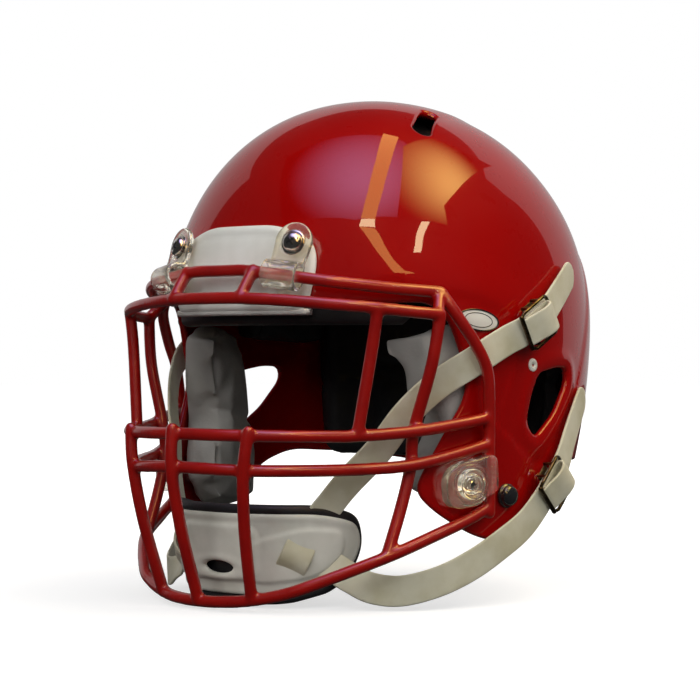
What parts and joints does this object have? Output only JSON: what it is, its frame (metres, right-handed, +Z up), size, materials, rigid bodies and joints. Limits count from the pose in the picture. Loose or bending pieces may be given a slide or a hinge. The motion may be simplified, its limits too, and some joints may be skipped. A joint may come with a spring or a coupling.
{
  "type": "american football helmet",
  "caption": "Hard shell football helmet with foam liner, swing-up wire face cage, clear clips, snapped chin straps, chin cup and jaw pads.",
  "frame": {"origin": "middle of the head cavity, level with the ear holes", "axes": "the face looks along -Y, the wearer's left is +X, +Z is up"},
  "size_m": [0.25, 0.2906, 0.271],
  "materials": {
    "shell_gloss": "deep gloss clear-coated moulded plastic",
    "cage_coat": "gloss dipped vinyl coat on welded steel wire",
    "bumper_white": "satin white moulded rubbery plastic",
    "clear_plastic": "clear polycarbonate, slightly yellowed",
    "chrome": "bright plated",
    "bronze_wire": "dark bronze plate",
    "liner_black": "matt black vinyl over foam",
    "jaw_grey": "light grey soft vinyl",
    "strap_vinyl": "cream vinyl-coated webbing",
    "cup_white": "white hard plastic",
    "black_stud": "gloss black domed cap",
    "trim_white": "white trim"
  },
  "bodies": {
    "helmet": {"shell": "shell_gloss", "brow_bumper": "bumper_white", "rear_bumper": "liner_black", "crown_pad": "liner_black", "front_pad": "liner_black", "side_pad_left": "liner_black", "side_pad_right": "liner_black", "rear_pad": "liner_black", "top_clip_left": "clear_plastic", "top_clip_right": "clear_plastic", "clip_screws": "chrome", "clip_nuts": "chrome", "clip_receivers": "chrome", "snap_studs": "chrome", "spare_studs": "black_stud", "strap_upper_left": "strap_vinyl", "strap_upper_right": "strap_vinyl", "strap_lower_left": "strap_vinyl", "strap_lower_right": "strap_vinyl", "chin_cup": "cup_white", "chin_pad": "liner_black", "inflation_valves": "trim_white", "side_badges": "trim_white"},
    "face_cage": {"side_clip_left": "clear_plastic", "side_clip_right": "clear_plastic", "button_spring_left": "chrome", "button_spring_right": "chrome", "brow_wire": "cage_coat", "upper_wire": "cage_coat", "middle_wire_top": "cage_coat", "middle_wire_bottom": "cage_coat", "chin_wire": "cage_coat", "side_wire_left": "cage_coat", "side_wire_right": "cage_coat", "outer_upright_left": "cage_coat", "outer_upright_right": "cage_coat", "inner_upright_left": "cage_coat", "inner_upright_right": "cage_coat", "lower_upright_left": "cage_coat", "lower_upright_center": "cage_coat", "lower_upright_right": "cage_coat", "brow_ties": "cage_coat"},
    "release_left": {"release_button_left": "clear_plastic"},
    "jaw_left": {"jaw_pad_left": "jaw_grey"},
    "snap_upper_left_body": {"snap_upper_left": "chrome", "buckle_upper_left": "bronze_wire", "loop_upper_left": "strap_vinyl"},
    "snap_lower_left_body": {"snap_lower_left": "chrome", "buckle_lower_left": "bronze_wire", "loop_lower_left": "strap_vinyl"},
    "release_right": {"release_button_right": "clear_plastic"},
    "jaw_right": {"jaw_pad_right": "jaw_grey"},
    "snap_upper_right_body": {"snap_upper_right": "chrome", "buckle_upper_right": "bronze_wire", "loop_upper_right": "strap_vinyl"},
    "snap_lower_right_body": {"snap_lower_right": "chrome", "buckle_lower_right": "bronze_wire", "loop_lower_right": "strap_vinyl"}
  },
  "joints": [
    {"name": "cage_swing", "type": "hinge", "parent": "helmet", "child": "face_cage", "pos_m": [0, -0.1412, 0.0383], "axis": [-1, 0, 0], "range_deg": [0, 80]},
    {"name": "release_left_press", "type": "slide", "parent": "face_cage", "child": "release_left", "axis": [-0.9229, 0.3851, 0], "range_m": [0, 0.002], "stiffness_N_per_m": 600, "springref_m": -0.002, "deforming": ["button_spring_left"]},
    {"name": "jaw_left_unsnap", "type": "slide", "parent": "helmet", "child": "jaw_left", "axis": [-1, 0, 0], "range_m": [0, 0.008]},
    {"name": "snap_upper_left_pull", "type": "slide", "parent": "helmet", "child": "snap_upper_left_body", "axis": [0.9994, -0.0342, 0], "range_m": [0, 0.005], "deforming": ["strap_upper_left"]},
    {"name": "snap_lower_left_pull", "type": "slide", "parent": "helmet", "child": "snap_lower_left_body", "axis": [0.9986, 0.0526, 0], "range_m": [0, 0.005], "deforming": ["strap_lower_left"]},
    {"name": "release_right_press", "type": "slide", "parent": "face_cage", "child": "release_right", "axis": [0.9229, 0.3851, 0], "range_m": [0, 0.002], "stiffness_N_per_m": 600, "springref_m": -0.002, "deforming": ["button_spring_right"]},
    {"name": "jaw_right_unsnap", "type": "slide", "parent": "helmet", "child": "jaw_right", "axis": [1, 0, 0], "range_m": [0, 0.008]},
    {"name": "snap_upper_right_pull", "type": "slide", "parent": "helmet", "child": "snap_upper_right_body", "axis": [-0.9994, -0.0342, 0], "range_m": [0, 0.005], "deforming": ["strap_upper_right"]},
    {"name": "snap_lower_right_pull", "type": "slide", "parent": "helmet", "child": "snap_lower_right_body", "axis": [-0.9986, 0.0526, 0], "range_m": [0, 0.005], "deforming": ["strap_lower_right"]}
  ]
}
